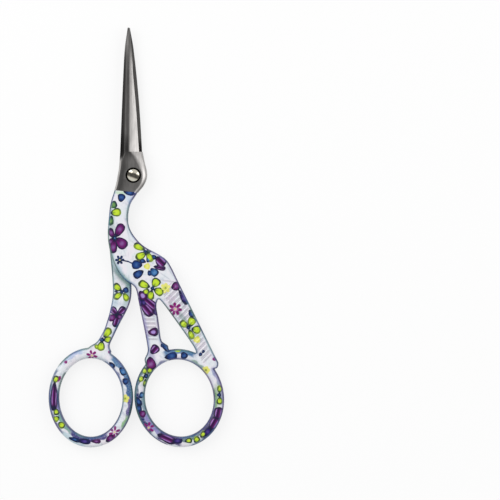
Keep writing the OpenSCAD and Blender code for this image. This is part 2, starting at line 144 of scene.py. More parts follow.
def linear(r, g, b):
    """A colour seen on screen, 0 to 255, as a linear one for the shaders."""
    def one(c):
        c /= 255
        return c / 12.92 if c <= 0.04045 else ((c + 0.055) / 1.055) ** 2.4
    return (one(r), one(g), one(b), 1.0)


bpy.context.scene.view_settings.view_transform = "Standard"
world = bpy.data.worlds.new("studio")
bpy.context.scene.world = world
nodes = Nodes(world)
sky = nodes.add("ShaderNodeBackground", Color=WHITE, Strength=SKY_STRENGTH)
nodes.add("ShaderNodeOutputWorld", Surface=sky)

for name, place, width, power in LAMPS:
    light = bpy.data.lights.new(name, "AREA")
    light.shape, light.size, light.energy = "DISK", width, power
    lamp = bpy.data.objects.new(name, light)
    lamp.location = place
    facing = Vector(LAMPS_FACE) - Vector(place)
    lamp.rotation_euler = facing.to_track_quat("-Z", "Y").to_euler()
    bpy.context.scene.collection.objects.link(lamp)

corners = [(x * TABLE_HALF, y * TABLE_HALF, 0) for x, y in ((-1, -1), (1, -1), (1, 1), (-1, 1))]
table = new_object("table", corners, [(0, 1, 2, 3)])
table.location.z = -TABLE_DROP * MM
white_table = bpy.data.materials.new("white_table")
nodes = Nodes(white_table)
paper = nodes.add("ShaderNodeBsdfDiffuse", Color=PAPER_WHITE)
glow = nodes.add("ShaderNodeEmission", Color=WHITE, Strength=1.0)
camera_ray, mirror_ray, passing_ray = (
    nodes.add("ShaderNodeLightPath", out=kind)
    for kind in ("Is Camera Ray", "Is Glossy Ray", "Is Transmission Ray")
)
seen = nodes.math("MAXIMUM", nodes.math("MAXIMUM", camera_ray, mirror_ray), passing_ray)
both = nodes.add("ShaderNodeMixShader", i0=nodes.times(seen, TABLE_GLOW), i1=paper, i2=glow)
nodes.add("ShaderNodeOutputMaterial", Surface=both)
table.data.materials.append(white_table)

eye = bpy.data.cameras.new("camera")
eye.lens, eye.sensor_width = LENS, SENSOR
eye.clip_start, eye.clip_end = 0.05, 5
camera = bpy.data.objects.new("camera", eye)
bpy.context.scene.collection.objects.link(camera)
camera.location = (
    (MIDDLE_PX - PIVOT_PX[0]) * PIXEL_MM * MM,
    (PIVOT_PX[1] - MIDDLE_PX) * PIXEL_MM * MM,
    2 * MIDDLE_PX * PIXEL_MM * MM * LENS / SENSOR + TRUE_LEVEL * MM,
)
bpy.context.scene.camera = camera

# Blades.
# Two hollow-ground blades of dark satin steel with pale ground bevels, forged with round heads
# that cross at the pivot. The front one lies on the rear one, which is the same form turned over.
BLADE_REACH, ROOT = 40.2, 6.4  # y of the tips, and of the blades' wide ends over the heads
BLADE_W, TIP_W, OFFSET = 5.1, 0.55, 0.8  # wide end, both tips, and how far the rear one juts out
TIP_LEAN, ROOT_X = 1.3, 0.65  # how far left of the pivot the tips and the wide ends are
HALF_T, HALF_GAP = 2.0, 0.06  # one half's thickness, and the gap between the halves
EDGE_T, TIP_T, SPINE_T, BACK_BREAK = 0.15, 0.8, 1.15, 0.05  # cutting edge, tip, back, its corner
HOLLOW_DEPTH, SWELL, SWELL_START = 0.12, 0.1, 0.22
RIDGE_IN, RIDGE_MIN = 2.75, 0.1  # the ridge from the cutting edge, at the wide end and at least
RIM_T, HEAD_BACK_T, CHAMFER_W, HEAD_CHAMFER_W = 1.15, 1.3, 1.3, 0.6
SEAM_DROP, SEAM_X, SEAM_TILT, SEAM_START = 4.35, 2.1, -6.0, 3  # the border with the print
SHANK_R, RUN_GAP, SEAT_R, SEAT_DEPTH = 1.2, 0.04, 2.06, 0.7
BELOW, ABOVE = -1, 6  # heights past both blades, for cutting holes
BLADE_ROWS, HEAD_ROWS, ROW_GAP = 150, 80, 0.01
BACK_STEPS, INNER_STEPS = (0.1, 0.9), (0.25, 0.5, 0.75)
SLOPE_STEPS = (0.02, 0.12, 0.3, 0.5, 0.7, 0.85, 0.96)
FACE_STEPS = (0.02, 0.15, 0.35, 0.6, 0.8, 0.95)
BEVEL_STEPS = (0.04, 0.1, 0.18, 0.26, 0.36, 0.5, 0.65, 0.8, 0.9, 0.97)
BLADE_CREASE, HOLE_SIDES = 28, 64
# Changes of form and tone down the blade, as (where each starts, how long it takes)
HEAD_BLEND, HEAD_FADE, RIM_SHEEN, BACK_PALER = (ROOT, 3), (ROOT + 1, 3.5), (3.4, 2.6), (5.6, 2)
TIP_FADE, HEAD_SHADE = (0.32, 0.22), (10.5, 3.5)
# Painted highlight: the gleam is a bright line painted inside each head's rim.
GLEAM_IN, GLEAM_W, OUTER_FADE = 0.75, 0.22, (0.5, 0.25)  # the bright line inside a head's rim
SATIN_TINT, SATIN_ROUGH, SATIN_MOTTLE, SATIN_CLOUDS = (1.0, 0.965, 0.94, 1.0), 0.3, 0.25, 420.0
# Dark flats and pale ground bevels are the steel's own; lit and shaded facet tones are painted
# light.
TONE = SimpleNamespace(  # greys of the steel as seen on screen, 0 to 255
    inner=86, inner_shaded=34, spine=58, slope_low=36, slope_high=52, slope_tip=76,
    chamfer=186, chamfer_end=74, face_low=70, face_high=58, face_tip=84, head_low=76, head=116,
    bevel_start=80, bevel=168, bevel_edge=184, bevel_tip=105, cutting_edge=190,
    rim=168, rim_gleam=214, rim_outer=132,
)
# Painted shade in the screw's seat: how light its walls and floor are, and slack in finding them.
HOLE_LIGHT, HOLE_SLACK, FACE_SLACK = 0.01, 0.02, 0.01
layer_t, stack_t = HALF_T - HALF_GAP / 2, 2 * HALF_T
blade_len = BLADE_REACH - ROOT
both_w = BLADE_W + OFFSET
cut_edge_root = -ROOT_X + both_w / 2 - OFFSET
seam_slope = math.tan(math.radians(SEAM_TILT))
HEAD_RIGHT = [  # the front head's outline on its right, down the page
    (2.45, ROOT), (2.93, 4), (3.65, 0.9), (3.57, -0.6), (2.66, -2.5), (1.46, -4), (0.66, -5.35),
    (-0.92, -7.9),
]
HEAD_LEFT = [(-3.6, ROOT), (-3.9, 2.2), (-4.25, 0), (-4.88, -3.3), (-6.26, -7.8)]
RIM_WIDTH = [  # of the bright rim round a head
    (3.4, ROOT), (2.85, 5), (2.5, 3.8), (2.1, 2.6), (1.65, 1), (1.4, -0.8), (1.25, -3.2),
    (1.1, -6),
]
TAPER = [  # width of the two blades together
    (TIP_W, BLADE_REACH), (0.37 * both_w, BLADE_REACH - 0.15 * blade_len),
    (0.52 * both_w, BLADE_REACH - 0.3 * blade_len), (both_w, ROOT),
]
SHOWN = [  # how much of the rear blade shows beside the front one
    (0.05, BLADE_REACH), (0.45, 35.5), (0.7, 31.1), (0.9, 26.7), (0.89, 18.2), (0.88, 11.5),
    (OFFSET, ROOT),
]


def mix(a, b, t):
    """From a at 0 to b at 1."""
    return a + (b - a) * t


def ease(t):
    """0 up to 0, 1 from 1 on, smooth between."""
    t = np.clip(t, 0, 1)
    return t * t * (3 - 2 * t)


def down_past(start, length, at):
    """0 until the start of a change, rising to 1 over its length, on the way down."""
    return ease((start - at) / length)


def bell(t):
    """1 at 0, falling off on both sides."""
    return np.exp(-(t ** 2))


def read_curve(points, y):
    """Smooth curve through (x, y) points that run down in y."""
    p = np.array(points, float)
    y = np.clip(y, p[-1, 1], p[0, 1])
    slope = np.array([
        (p[min(i + 1, len(p) - 1), 0] - p[max(i - 1, 0), 0])
        / (p[min(i + 1, len(p) - 1), 1] - p[max(i - 1, 0), 1]) for i in range(len(p))
    ])
    i = np.clip(np.searchsorted(-p[:, 1], -y, side="right") - 1, 0, len(p) - 2)
    h = p[i + 1, 1] - p[i, 1]
    t = (y - p[i, 1]) / h
    return (
        (2 * t**3 - 3 * t**2 + 1) * p[i, 0] + (t**3 - 2 * t**2 + t) * h * slope[i]
        + (3 * t**2 - 2 * t**3) * p[i + 1, 0] + (t**3 - t**2) * h * slope[i + 1]
    )


def axis_x(y):
    """Middle line of the two blades together."""
    return mix(-TIP_LEAN, -ROOT_X, (BLADE_REACH - y) / blade_len)


def blade_corners(y, side):
    """Back, face, ridge and edge of a cross section as (x, height), and its hollow's depth."""
    along = (BLADE_REACH - y) / blade_len
    if y >= ROOT:
        swell = SWELL * math.sin(math.pi * max(0, (along - SWELL_START) / (1 - SWELL_START)))
        half, axis = read_curve(TAPER, y) / 2 + swell, axis_x(y) + swell
        back, edge = axis - half, axis + half - read_curve(SHOWN, y)
        ridge = min(
            mix(axis_x(BLADE_REACH), cut_edge_root - RIDGE_IN, along), edge - RIDGE_MIN)
        top = mix(TIP_T, layer_t, min(1, along * 1.15))
        corners = [
            (back, min(SPINE_T, top * 0.7)),
            (mix(back, ridge, 0.5), mix(top * 0.85, layer_t, ease((along - 0.8) / 0.2))),
            (ridge, top), (edge, EDGE_T),
        ]
        if side < 0:
            corners = [(2 * axis - x, height) for x, height in corners]
        return corners, HOLLOW_DEPTH * min(1, along * 2)
    blend = down_past(*HEAD_BLEND, y)
    edge, back = read_curve(HEAD_RIGHT, y), read_curve(HEAD_LEFT, y)
    if side < 0:
        edge, back = back, edge
    width = read_curve(RIM_WIDTH, y) * mix(1, 0.9, blend)
    return [
        (back, mix(SPINE_T, HEAD_BACK_T, blend)),
        (back + side * mix(CHAMFER_W, HEAD_CHAMFER_W, blend), layer_t),
        (edge - side * width, layer_t), (edge, RIM_T),
    ], 0.0


def blade_row(y, side):
    """One cross section as rows of (x, height, tone): up the back, over the face and the bevel
    to the cutting edge, and back along the inner face."""
    corners, hollow = blade_corners(y, side)
    (back_x, back_h), (face_x, face_h), (ridge_x, ridge_h), (edge_x, edge_h) = corners
    bevel_w = abs(edge_x - ridge_x)
    tip = down_past(*TIP_FADE, (BLADE_REACH - y) / blade_len)
    # Down the head the rim's tones come in: pale ground steel with a painted highlight inside it.
    head, edge_weight = down_past(*HEAD_FADE, y), down_past(*RIM_SHEEN, y)
    paler = down_past(*BACK_PALER, y)
    inner = TONE.inner
    if side < 0:
        inner = mix(TONE.inner, TONE.inner_shaded, down_past(*HEAD_SHADE, y) * (1 - head))
    # Towards the head the back takes the pale chamfer tone.
    spine = mix(TONE.spine, TONE.chamfer, paler)
    rows = [(back_x, 0.0, inner)]
    rows += [(back_x, mix(0, back_h - BACK_BREAK, t), spine) for t in BACK_STEPS]
    for t in SLOPE_STEPS:
        chamfer = mix(TONE.chamfer, TONE.chamfer_end, ease((t - 0.75) / 0.2))
        tone = mix(mix(TONE.slope_low, TONE.slope_high, t * t), chamfer, paler)
        x, height = mix(back_x, face_x, t), mix(back_h, face_h, t)
        rows.append((x, height, mix(tone, TONE.slope_tip, tip)))
    for t in FACE_STEPS:
        tone = mix(
            mix(TONE.face_low, TONE.face_high, ease(t * 2)),
            mix(TONE.head_low, TONE.head, ease(t * 1.6)), head)
        x, height = mix(face_x, ridge_x, t), mix(face_h, ridge_h, t)
        rows.append((x, height, mix(tone, TONE.face_tip, tip)))
    for t in BEVEL_STEPS:
        soft = ease(t * bevel_w / mix(0.4, 1.3, max(0, head - 1.4 * edge_weight)))
        tone = mix(
            mix(TONE.bevel_start, TONE.head, head),
            mix(mix(TONE.bevel, TONE.bevel_edge, t), TONE.rim, edge_weight), soft)
        # Painted highlight inside the head's rim, and a darker tone at its outer edge.
        if y < ROOT:
            inset = (1 - t) * bevel_w
            tone = mix(tone, TONE.rim_gleam, bell((inset - GLEAM_IN) / GLEAM_W) * edge_weight)
            tone = mix(tone, TONE.rim_outer, down_past(*OUTER_FADE, inset) * head)
        x, height = mix(ridge_x, edge_x, t), mix(ridge_h, edge_h, t)
        height -= hollow * math.sin(math.pi * t)
        rows.append((x, height, mix(tone, TONE.bevel_tip, tip)))
    rows += [(edge_x, edge_h, TONE.cutting_edge), (edge_x, 0.0, inner)]
    rows += [(mix(edge_x, back_x, t), 0.0, inner) for t in INNER_STEPS]
    return rows


def light_of(tone):
    """A screen tone, 0 to 255, as the light it stands for."""
    return (np.asarray(tone) / 255) ** 2.2


def paint(mesh, name, values):
    """Stores a number or a colour on every vertex, for the material to read."""
    values = np.asarray(values, np.float32)
    if values.ndim == 1:
        mesh.attributes.new(name, "FLOAT", "POINT").data.foreach_set("value", values)
        return
    colours = np.ones((len(values), 4), np.float32)
    colours[:, :3] = values[:, :3]
    layer = mesh.color_attributes.new(name, "FLOAT_COLOR", "POINT")
    layer.data.foreach_set("color", colours.ravel())


def paint_tone(mesh, tones):
    """Paints screen tones on a mesh, for the steel to read."""
    paint(mesh, "tone", np.repeat(light_of(tones)[:, None], 3, axis=1))


def steel(name, tint, rough, mottle, clouds, seat=-1.0):
    """Brushed steel in the tone painted on the mesh, with painted shade in a seat round the pivot
    axis.
    """
    material = bpy.data.materials.new(name)
    n = Nodes(material)
    place = n.place()
    brush = n.strokes(place, (9000.0, 500.0, 9000.0), 3.0, 0.7)
    broad = n.strokes(place, (2300.0, 260.0, 2300.0), 2.0)
    cloud = n.noise(place, clouds, 3.0, 0.6)
    shade = n.plus(n.sway(brush, 0.3), n.plus(n.sway(cloud, mottle), 1.0))
    shade = n.plus(shade, n.sway(broad, 0.7))
    flat = n.add(
        "ShaderNodeVectorMath", settings={"operation": "MULTIPLY"},
        i0=place, i1=(PER_METRE, PER_METRE, 0.0))
    radius = n.add(
        "ShaderNodeVectorMath", out="Value", settings={"operation": "LENGTH"}, i0=flat)
    # Painted shade: darker inside the seat's radius round the pivot axis.
    shade = n.times(shade, n.plus(0.1, n.times(n.ramp(radius, seat, seat + 0.12), 0.9)))
    grey = n.add(
        "ShaderNodeVectorMath", settings={"operation": "SCALE"},
        i0=n.read("tone", "Color"), Scale=shade)
    metal = n.add(
        "ShaderNodeBsdfPrincipled", Metallic=1.0, Roughness=n.plus(n.times(brush, 0.12), rough),
        Normal=n.add("ShaderNodeBump", Strength=0.12, Distance=0.00003, Height=brush),
        **{"Base Color": n.mix(1.0, grey, tint, "MULTIPLY")},
    )
    n.add("ShaderNodeOutputMaterial", Surface=metal)
    return material


def worked_mesh(made):
    """The mesh that an object's modifiers make."""
    bpy.context.view_layer.update()
    shaped = made.evaluated_get(bpy.context.evaluated_depsgraph_get())
    return bpy.data.meshes.new_from_object(shaped)


def cut_away(target, cutter):
    """Takes the cutter's form out of a mesh, and removes the cutter."""
    step = target.modifiers.new("cut", "BOOLEAN")
    step.operation, step.object, step.solver = "DIFFERENCE", cutter, "EXACT"
    done = worked_mesh(target)
    target.modifiers.clear()
    target.data = done
    bpy.data.objects.remove(cutter)


def cut_round(target, radius, low, high):
    """Takes a round hole on the pivot axis out of a mesh."""
    bpy.ops.mesh.primitive_cylinder_add(
        vertices=HOLE_SIDES, radius=radius * MM, depth=(high - low) * MM,
        location=(0, 0, (high + low) * MM / 2),
    )
    cut_away(target, bpy.context.object)


def darken_hole(mesh):
    """Paints the walls and floor of the screw's seat nearly black, as painted shade in the gap
    round the head.
    """
    for vertex, value in zip(mesh.vertices, mesh.color_attributes["tone"].data):
        x, y, z = vertex.co * PER_METRE
        if math.hypot(x, y) < SEAT_R + HOLE_SLACK:
            on_face = abs(z - HALF_T) > layer_t - FACE_SLACK
            grey = light_of(TONE.head) if on_face else HOLE_LIGHT
            value.color = (grey, grey, grey, 1.0)


def sharp_by_angle(mesh, degrees):
    """Keeps edges sharper than this crisp and the rest smooth."""
    shape = bmesh.new()
    shape.from_mesh(mesh)
    bmesh.ops.recalc_face_normals(shape, faces=shape.faces)
    for edge in shape.edges:
        if len(edge.link_faces) == 2 and edge.calc_face_angle(0) > math.radians(degrees):
            edge.smooth = False
    shape.to_mesh(mesh)
    shape.free()


def blade(name, side):
    """A blade and its head as one row of cross sections, down to the seam with the handle."""
    ys = np.concatenate([
        np.linspace(BLADE_REACH, ROOT + ROW_GAP, BLADE_ROWS),
        np.linspace(ROOT - ROW_GAP, -SEAM_DROP, HEAD_ROWS),
    ])
    vertices, tones = [], []
    for y in ys:
        lean = down_past(SEAM_START, SEAM_START + SEAM_DROP, y) * seam_slope
        for x, height, tone in blade_row(y, side):
            z = HALF_T + side * (HALF_GAP / 2 + height)
            vertices.append((x, y + lean * (x + SEAM_X), z))
            tones.append(tone)
    wide = len(vertices) // len(ys)
    faces = []
    for low in range(0, len(vertices) - wide, wide):
        high = low + wide
        faces += [
            (low + j, low + (j + 1) % wide, high + (j + 1) % wide, high + j) for j in range(wide)
        ]
    faces += [tuple(range(wide - 1, -1, -1)), tuple(range(len(vertices) - wide, len(vertices)))]
    made = new_object(name, vertices, faces)
    paint_tone(made.data, tones)
    sharp_by_angle(made.data, BLADE_CREASE)
    return made


for node, name, body, side, hole_r, seat_r in (
    ("rear_blade", "rear_blade_ground", "rear_half", -1, SHANK_R, SHANK_R),
    ("front_blade", "front_blade_ground", "front_half", 1, SHANK_R + RUN_GAP, SEAT_R),
):
    piece = blade(name, side)
    cut_round(piece, hole_r, BELOW, ABOVE)
    if side > 0:
        cut_round(piece, seat_r, stack_t - SEAT_DEPTH, ABOVE)
    darken_hole(piece.data)
    piece.data.materials.clear()
    piece.data.materials.append(steel(
        "satin_steel_" + name, SATIN_TINT, SATIN_ROUGH, SATIN_MOTTLE, SATIN_CLOUDS, seat_r))
    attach(piece, body)
    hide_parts(node)

# Handles.
# Die-cast stork halves, each cast round its blade's tang: neck, body, legs and tail with a finger
# ring, covered with a glossy floral film print that runs over their rounded edges.
VOXEL, SMOOTH_TURNS, SMOOTHING = 0.14, 14, 0.5
SEAM_KEEP, SEAM_FADE = 0.25, 0.6  # how far from the seam the smoothing starts, and rises to full
NORMAL_SIDE, NORMAL_FLAT, NORMAL_TOP = 0.35, 0.8, -0.25  # upward part of the surface's normal
# The pocket round the tang starts this near the seam and its walls face up the page. Below the
# fork of the legs every side wall is outline.
POCKET_SEAM, POCKET_Y, FORK_Y, RAY_START = -0.4, 0.4, -20, 0.15
# Rib height, half width and rounded ends, and where the painted shade in the grooves beside them
# lies.
RIB_LIFT, RIB_HALF_W, RIB_END, GROOVE_OUT, GROOVE_W = 0.15, 0.3, 0.3, 0.42, 0.16
# Rows of raised feather bars as (how many, first and last x, y and half length, turn in degrees)
RIB_ROWS = [
    (18, (9.69, 19.89), (-30.65, -49.54), (2.45, 1.75), 45.0),
    (7, (4.26, 5.33), (-37.6, -44.2), (1.6, 1.4), 0.0),
]
# Inks, as the screen colours of a petal's middle, its root and veins, and its pale streaks
INKS = {
    "lime": ((188, 220, 36), (28, 84, 54), (224, 238, 90)),
    "navy": ((14, 58, 126), (4, 16, 66), (88, 136, 190)),
    "plum": ((104, 2, 100), (30, 0, 56), (172, 144, 212)),
    "magenta": ((136, 16, 112), (74, 4, 86), (226, 184, 218)),
    "yellow": ((234, 232, 116), (196, 208, 84), (244, 240, 176)),
    "blue": ((48, 108, 168), (10, 38, 100), (140, 184, 218)),
    "grape": ((38, 12, 102), (12, 2, 58), (120, 100, 186)),
    "green": ((74, 128, 70), (22, 64, 56), (170, 200, 110)),
}
PLAIN, STRIPED, HOLLOW, SOFT = range(4)
PALE_INKS = ("yellow", "magenta")  # printed with hardly any dark outline
PETAL_LONGER, PETAL_WIDER, PETAL_SQUARE = 1.12, 1.18, 2.1
# Print on the front, in pixels of the photograph's scale: groups of petals of one ink and kind,
# each (x, y, length, width, turn) with the turn pointing from its root to its wide end
PETALS = [
    ("navy", PLAIN, (
        (121.5, 198, 7.5, 6.5, 75), (129, 192.3, 10, 5.5, -10), (134.5, 194.2, 5, 2.2, -35),
    )),
    ("green", PLAIN, ((113.3, 205, 7.5, 6, 20), (111, 220.5, 9, 5, -100))),
    ("lime", PLAIN, ((116, 212.5, 9.5, 7, 10), (110.5, 206.5, 6, 4, 60))),
    ("plum", PLAIN, (
        (119.5, 230.3, 13, 7.5, 62), (121.3, 242.8, 12.5, 9, -42), (113.6, 246.3, 13, 6.8, -100),
    )),
    ("plum", PLAIN, ((111.6, 233.4, 10, 5.2, 113), (110.8, 241.5, 8.5, 4.8, -130))),
    ("blue", PLAIN, ((114.8, 238, 3.8, 3.6, 0),)),
    ("lime", PLAIN, (
        (139.5, 247, 11, 6, 152), (141.3, 255.7, 11, 6.5, 211), (149.5, 257, 9.5, 5.5, -65),
    )),
    ("green", PLAIN, ((149.6, 249.6, 8, 5, 60),)),
    ("navy", PLAIN, (
        (145, 251.8, 3, 3, 0), (142.8, 261, 6.5, 4, 160), (137.3, 264.8, 9.5, 7.5, 175),
        (138.8, 273.8, 10.5, 6.5, 212), (154, 257, 5, 4, -35), (149.5, 273, 5, 3.5, -75),
    )),
    ("blue", PLAIN, ((154.2, 272, 8.5, 6.5, -48), (148.5, 259.8, 5, 4, 70))),
    ("yellow", PLAIN, ((147, 266.3, 5.6, 5.2, 0),)),
    ("plum", STRIPED, ((160.5, 261.3, 11, 9, -45), (159.7, 267.6, 11, 4.4, -12))),
    ("lime", PLAIN, (
        (144.5, 284.7, 11, 6.5, 155), (155.8, 282.8, 9, 7.5, 60), (158.7, 291.3, 9.5, 7, -25),
        (151, 295, 9, 6, -100), (146.3, 291.5, 6.5, 5, 215),
    )),
    ("navy", PLAIN, ((152.4, 288.2, 3.4, 3.4, 0),)),
    ("plum", PLAIN, ((175.5, 286.5, 7.8, 7.5, 20),)),
    ("grape", PLAIN, ((183.2, 297.3, 15, 5, -62), (139.8, 302, 8, 5, -75), (156, 312, 6, 5, -30))),
    ("navy", PLAIN, ((191.8, 313.2, 7.5, 6, -50),)),
    ("lime", PLAIN, (
        (117.3, 287.6, 9, 6, 140), (117.8, 295.7, 9, 5.5, 212), (125.6, 297, 8, 5, -62),
    )),
    ("navy", PLAIN, (
        (125.3, 290.3, 5.5, 5, 20), (121.4, 292, 3, 3, 0), (115.8, 291.4, 3, 2.5, 0),
    )),
    ("plum", STRIPED, (
        (113.9, 311, 9, 6.2, 135), (121.4, 311.2, 10, 6.2, 45), (116.6, 321.3, 11, 6.2, -105),
    )),
    ("plum", PLAIN, ((112.6, 317.4, 8.5, 6, 200), (119.4, 316.6, 6, 4.6, -30))),
    ("lime", PLAIN, (
        (107.2, 332.8, 10, 6.5, 58), (107.8, 339.7, 8, 5.6, 2), (101.2, 345.9, 9, 6.6, -100),
        (96.8, 346.4, 4, 4, 200),
    )),
    ("navy", PLAIN, ((101.8, 339.8, 4.2, 4, 0),)),
    ("plum", HOLLOW, ((142.8, 295.6, 10, 7.5, -55),)),
    ("grape", PLAIN, ((143.6, 302.2, 8, 4.5, -60),)),
    ("plum", STRIPED, ((150, 303, 19, 7, -40), (146.8, 309.3, 15, 8, -50))),
    ("plum", HOLLOW, ((153.3, 332, 9.5, 7, 5),)),
    ("lime", PLAIN, (
        (191.6, 321.8, 9, 7, 66), (196.3, 329.6, 8.5, 7, -8), (184, 324.3, 8.5, 6, 150),
        (191, 334.3, 9.5, 5, -68),
    )),
    ("navy", PLAIN, ((188.4, 327.6, 3.6, 3.6, 0),)),
    ("yellow", PLAIN, ((197.2, 339.4, 6, 5.4, 250),)),
    ("plum", STRIPED, ((154.5, 349.7, 9.5, 7.5, 48),)),
    ("plum", PLAIN, ((150.8, 363.2, 12, 8.5, -80), (142.5, 413.5, 6.5, 6, -20))),
    ("navy", PLAIN, (
        (165.7, 347.4, 11, 4.6, -38), (162.3, 345.8, 3.2, 3, 0), (171, 356.3, 11.5, 6.5, 12),
        (184, 355.3, 6.5, 6, -60), (200.5, 354.5, 3.4, 3, 40), (203.3, 351.6, 3.2, 2.6, 60),
    )),
    ("lime", SOFT, ((177, 349.6, 7, 4, 0),)),
    ("magenta", PLAIN, (
        (214, 359, 3.6, 3.2, 0), (109.6, 352, 3.4, 3, 0), (65.6, 362, 3.2, 2.6, 0),
    )),
    ("lime", PLAIN, (
        (144.4, 370.8, 6.5, 5, 110), (149.8, 370.6, 6, 5, 55), (141.2, 378.6, 6.5, 5, 205),
        (145.2, 382.8, 7.5, 3.6, -95),
    )),
    ("navy", PLAIN, ((146, 376, 4, 4, 0), (138.4, 401.2, 9.5, 4.6, -60), (138.8, 408, 7, 5, -85))),
    ("blue", PLAIN, ((141.8, 395.3, 6, 4.4, 60),)),
    ("plum", STRIPED, (
        (166.5, 438.2, 18, 7, -24), (218.3, 413.5, 12, 8, 78), (213.8, 423.5, 13, 8, 60),
    )),
    ("grape", PLAIN, ((177, 440.7, 10, 5, 8), (207.3, 432.3, 9, 6, 48))),
    ("lime", PLAIN, (
        (188.6, 440.5, 7, 4.6, 10), (196.6, 439.6, 6.5, 5.4, 50), (203, 434.3, 7, 4.8, 50),
    )),
    ("lime", PLAIN, ((219.8, 389, 7, 4.6, 82), (219.6, 400.6, 7, 5, 262))),
    ("navy", PLAIN, ((219, 394.8, 3.8, 3.6, 0),)),
    ("navy", PLAIN, (
        (112, 365, 7, 4, -50), (125.5, 381, 6, 5.6, -40), (74.5, 439.3, 11, 3.8, -16),
    )),
    ("blue", PLAIN, ((123, 371, 8.5, 6, -48),)),
    ("grape", PLAIN, ((84, 441.2, 12, 4.8, -6), (131.8, 408, 14, 3.6, -98))),
    ("plum", PLAIN, ((96, 441.2, 9, 3.6, -2), (110.2, 438.8, 9, 6.2, 32))),
    ("lime", PLAIN, (
        (56, 379.3, 7, 5, 60), (56.3, 411.5, 6.5, 5, -70), (56.6, 418.6, 6, 5, 215),
        (61.6, 424.7, 7, 5.6, -40),
    )),
    ("magenta", PLAIN, ((59, 379.2, 6.5, 2.2, 65),)),
    ("plum", STRIPED, ((54.2, 396, 27, 6.2, -92),)),
]
# Small starry flowers as (ink, x, y, petals, reach, width), and curved stems through three points
STARS = [
    ("navy", 120, 260, 6, 4.8, 2.4), ("yellow", 165.5, 288, 6, 5.2, 3.2),
    ("magenta", 175.3, 309, 7, 6.8, 2.9), ("magenta", 148.8, 427.5, 6, 6, 2.4),
    ("yellow", 206, 370, 5, 4, 3.2), ("magenta", 92, 355.4, 6, 5.6, 2.3),
    ("magenta", 114.6, 432, 6, 6.2, 2.5), ("yellow", 125.3, 398.5, 5, 4.2, 3.2),
]
STAR_HEART, FLOWER_OUT, FLOWER_PETAL = 0.22, 0.56, 0.86
STEMS = [(123, 260.5, 129, 261, 134.5, 265)]
STEM_DOTS, STEM_W = 12, 1.5
# Some washes are print colour; others are painted shade under the belly's edge and on sides that
# fall away.
# Soft washes of colour as (x, y, half length, half width, turn, strength, screen colour)
WASHES = [
    (127.5, 290, 14, 3, 84, 0.65, (104, 158, 162)), (119, 326, 12, 3.4, 62, 0.45, (150, 142, 204)),
    (112, 262, 14, 2.4, 84, 0.5, (120, 168, 176)), (190, 347, 8, 2.6, -20, 0.5, (140, 176, 210)),
    (121, 193, 8, 2.2, -6, 0.6, (168, 214, 160)), (130, 199, 9, 4, -50, 0.35, (150, 190, 226)),
    (122, 277, 16, 4.2, -48, 0.85, (118, 156, 150)), (118, 268, 9, 4, -60, 0.5, (150, 190, 205)),
    (112, 222, 22, 3.4, 92, 0.5, (120, 160, 150)), (127, 360, 14, 4, -50, 0.5, (130, 160, 215)),
    (172, 298, 5, 4, 0, 0.25, (225, 190, 215)), (146, 330, 22, 2.6, -80, 0.55, (130, 130, 185)),
    (160, 325, 22, 2.2, -83, 0.6, (110, 80, 140)), (186, 322, 26, 3, -52, 0.55, (90, 130, 125)),
    (165, 276, 9, 0.7, -35, 0.4, (150, 156, 172)), (160, 283, 8, 0.6, -10, 0.4, (150, 156, 172)),
    (170, 271, 7, 0.6, -60, 0.4, (150, 156, 172)), (152, 277, 6, 0.6, -75, 0.4, (150, 156, 172)),
    (124, 250, 8, 0.6, -70, 0.3, (150, 156, 172)), (134, 243, 9, 0.6, -40, 0.3, (150, 156, 172)),
    (128, 232, 8, 0.6, -75, 0.3, (150, 156, 172)), (168, 281, 9, 1, -8, 0.5, (160, 160, 175)),
    (217, 396, 14, 4.8, 88, 0.6, (112, 155, 90)), (146, 378, 12, 4.6, -100, 0.5, (110, 150, 110)),
    (152, 358, 12, 4, -70, 0.45, (110, 90, 160)), (128, 345, 12, 6, -40, 0.35, (180, 205, 225)),
    (116, 300, 14, 3, 80, 0.4, (120, 160, 180)), (126, 300, 12, 3, 75, 0.4, (110, 150, 150)),
    (190, 300, 20, 3, -62, 0.55, (80, 90, 150)),
]
# Finger rings as (middle x, y, half width and half height of the bar's middle line, lean)
RINGS = {
    "left": (-11.62, -60.5, 10.08, 12.15, 0),
    "right": (12.45, -60.65, 10.75, 12, 11.5),
}
